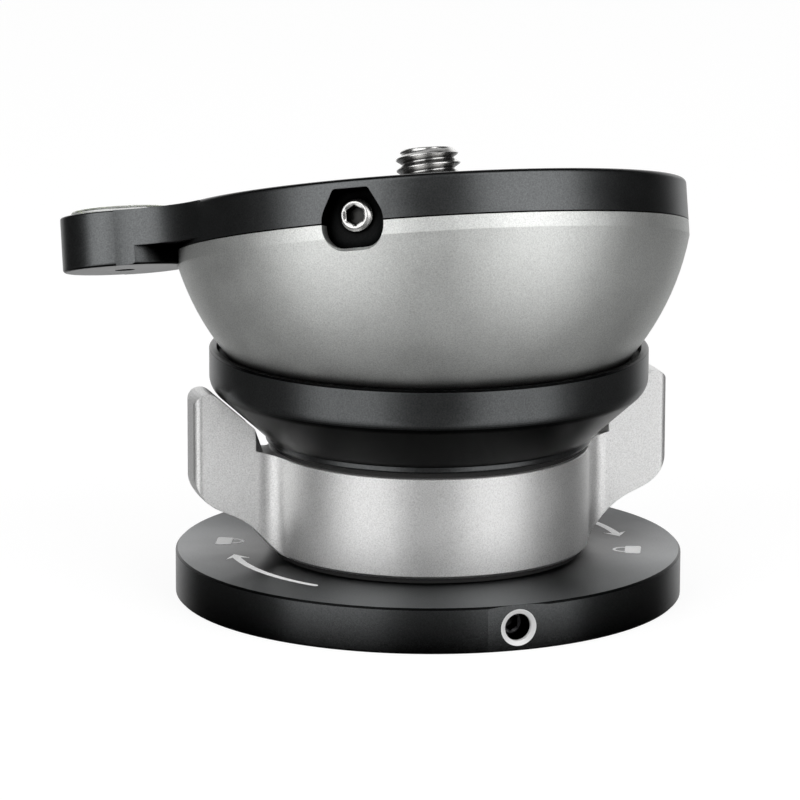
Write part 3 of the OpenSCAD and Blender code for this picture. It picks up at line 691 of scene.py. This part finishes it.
# Set screws, their sockets outwards: one locks the stud, one the bush
studSetScrew = {"radius": 2.35, "pitch": 0.8, "depth": 0.45, "turn": pocket["turn"], "socket": 1.27}
baseSetScrew = {"radius": 2.0, "pitch": 0.7, "depth": 0.43, "turn": sideHole["turn"] - 90, "socket": 1.08}
setScrewForm = {"point": 1.15, "mouth": 0.2, "flare": 0.2, "cupWidth": 1.1, "cupDepth": 0.5, "bevel": 0.45,
                "segments": 60}
# The socket's inside gets painted shade, darker: up to this share of its flats, below this lip, above this
# share of the screw
paintedSocketShade = {"edge": 1.17, "lip": 0.22, "floor": 1 / 3, "light": 0.05}


def setScrew(screw, length):
    radius, socket = screw["radius"], screw["socket"]
    profile = [(0, length - radius * setScrewForm["point"], roundPoint), (socket, length - radius, hexPoint),
               (socket, length - setScrewForm["mouth"], hexPoint),
               (socket * socketFlare + setScrewForm["flare"], length, roundPoint)]
    profile += list(reversed(threadRows(radius, screw["pitch"], 0, length)))
    profile += [(radius - setScrewForm["cupWidth"], 0, roundPoint), (0, setScrewForm["cupDepth"], roundPoint)]
    thread = {"pitch": screw["pitch"], "depth": screw["depth"], "start": 0, "end": length,
              "bevel": setScrewForm["bevel"]}
    return profile, thread


# Steel whose hexagon socket gets painted shade inside: its colour is darkened there
def addSocketFinish(name, finish, matrix, socket, length):
    material, tree, place = startMaterial(name)
    square = matrix.to_3x3().transposed()
    across, beside, along = (dotOf(tree, place, way) - matrix.translation.dot(way) for way in square)
    reach = (across * across + beside * beside).maths("SQRT")
    inside = (reach < socket * paintedSocketShade["edge"] * mm) * (along < length - paintedSocketShade["lip"] * mm) * \
        (along > length * paintedSocketShade["floor"])
    return coat(material, tree, place, finish, dimmed(inside, paintedSocketShade["light"]))


def addSetScrew(name, node, screw, matrix, finish, body):
    across = math.radians(screw["turn"])
    outwards = matrix @ Matrix.Rotation(across, 4, "Z") @ Matrix.Rotation(math.pi / 2, 4, "Y")
    low, high = boxIn(outwards, node)
    outwards = outwards @ Matrix.Translation(((low.x + high.x) / 2, (low.y + high.y) / 2, low.z))
    profile, thread = setScrew(screw, (high.z - low.z) / mm)
    materials[name] = addSocketFinish(name, finishes[finish], outwards, screw["socket"], high.z - low.z)
    mesh = spin(profile, name, setScrewForm["segments"], thread, matrix=outwards)
    addPiece(name, mesh, body, [node])


addSetScrew("studSetScrew", "stud_set_screw", studSetScrew, headFrame, "brightSteel", "head")
addSetScrew("baseSetScrew", "base_set_screw", baseSetScrew, Matrix(), "blackSteel", "base")
print("set screws placed")

# Marks on the base disc: two arrows and two closed padlocks, by angle and radius on the disc
arrow = {"radius": 29.6, "tail": -123.7, "neck": -164.1, "barbs": -162.7, "tip": -168.0, "tailWidth": 0.85,
         "neckWidth": 1.2, "headWidth": 3.6, "steps": 24, "tailSteps": 3, "tailStep": 25}
padlock = {"turn": -184, "foot": 32.0, "shoulder": 29.6, "top": 27.7, "bodyWidth": 4.6, "shackleWidth": 3.2,
           "line": 0.45, "corner": 0.5, "cornerSteps": 3, "shackleStep": 20}
etchHeight = 0.02


# A flat mark's points: its side of the round in degrees, and its radius in millimetres
def onDisc(angle, radius):
    return (radius * mm * math.cos(math.radians(angle)), radius * mm * math.sin(math.radians(angle)))


# A ribbon between two rows of points
def ribbon(left, right):
    last = len(left)
    return left + right, [(spot, spot + 1, last + spot + 1, last + spot) for spot in range(last - 1)]


# Gives a flat pattern its thickness: top, underside and the walls round its open edges
def addPrism(shape, flat, low, high):
    points, faces = flat
    rows = [[shape.verts.new((x, y, z)) for x, y in points] for z in (low, high)]
    edges = [(face[spot - 1], face[spot]) for face in faces for spot in range(len(face))]
    for face in faces:
        shape.faces.new([rows[1][point] for point in face])
        shape.faces.new([rows[0][point] for point in reversed(face)])
    for start, end in edges:
        if (end, start) not in edges:
            shape.faces.new((rows[0][start], rows[0][end], rows[1][end], rows[1][start]))


def arrowStroke(half):
    left, right = [], []
    for step in range(-arrow["tailSteps"], arrow["steps"] + 1):
        along = max(step, 0) / arrow["steps"]
        width = arrow["tailWidth"] + (arrow["neckWidth"] - arrow["tailWidth"]) * along
        tail = math.radians(-arrow["tailStep"] * min(step, 0))
        bow = math.cos(tail)
        angle = half + arrow["tail"] + (arrow["neck"] - arrow["tail"]) * along
        angle += math.degrees(width / 2 * math.sin(tail) / arrow["radius"])
        left.append(onDisc(angle, arrow["radius"] - width / 2 * bow))
        right.append(onDisc(angle, arrow["radius"] + width / 2 * bow))
    return ribbon(left, right)


def arrowHead(half):
    neck, barbs, tip = (arrow[name] + half for name in ("neck", "barbs", "tip"))
    radius, stroke, wide = arrow["radius"], arrow["neckWidth"] / 2, arrow["headWidth"] / 2
    points = [onDisc(tip, radius), onDisc(barbs, radius - wide), onDisc(neck, radius - stroke),
              onDisc(neck, radius + stroke), onDisc(barbs, radius + wide)]
    return points, [(0, 1, 2), (0, 2, 3), (0, 3, 4)]


def padlockBody(half):
    turnThere = padlock["turn"] + half
    corner, steps = padlock["corner"], padlock["cornerSteps"]
    left, right = [], []
    for step in range(2 * steps + 1):
        rise = math.radians(step * 90 / steps - 90)
        middle = padlock["shoulder"] + corner if step > steps else padlock["foot"] - corner
        radius = middle - corner * math.sin(rise)
        spread = padlock["bodyWidth"] / 2 - corner * (1 - math.cos(rise))
        swing = math.degrees(spread / padlock["foot"])
        left.append(onDisc(turnThere - swing, radius))
        right.append(onDisc(turnThere + swing, radius))
    return ribbon(left, right)


def padlockShackle(half):
    turnThere = padlock["turn"] + half
    outer = padlock["shackleWidth"] / 2
    inner = outer - padlock["line"]
    rise = padlock["top"] + outer
    rows = []
    for size in (inner, outer):
        row = [(-size, padlock["shoulder"])]
        row += [(-size * math.cos(math.radians(angle)), rise - size * math.sin(math.radians(angle)))
                for angle in range(0, 181, padlock["shackleStep"])]
        row += [(size, padlock["shoulder"])]
        rows.append([onDisc(turnThere + math.degrees(across / padlock["foot"]), radius)
                     for across, radius in row])
    return ribbon(*rows)


def addMarks():
    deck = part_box("lower_slide_washer")[0].z
    shape = bmesh.new()
    for half in (0, 180):
        for flat in (arrowStroke(half), arrowHead(half), padlockBody(half), padlockShackle(half)):
            addPrism(shape, flat, deck, deck + etchHeight * mm)
    mesh = bpy.data.meshes.new("marks")
    shape.to_mesh(mesh)
    shape.free()
    mesh.materials.append(materials["etchedMark"])
    addPiece("baseMarks", tidyMesh(mesh), "base")


addMarks()
print("marks etched")
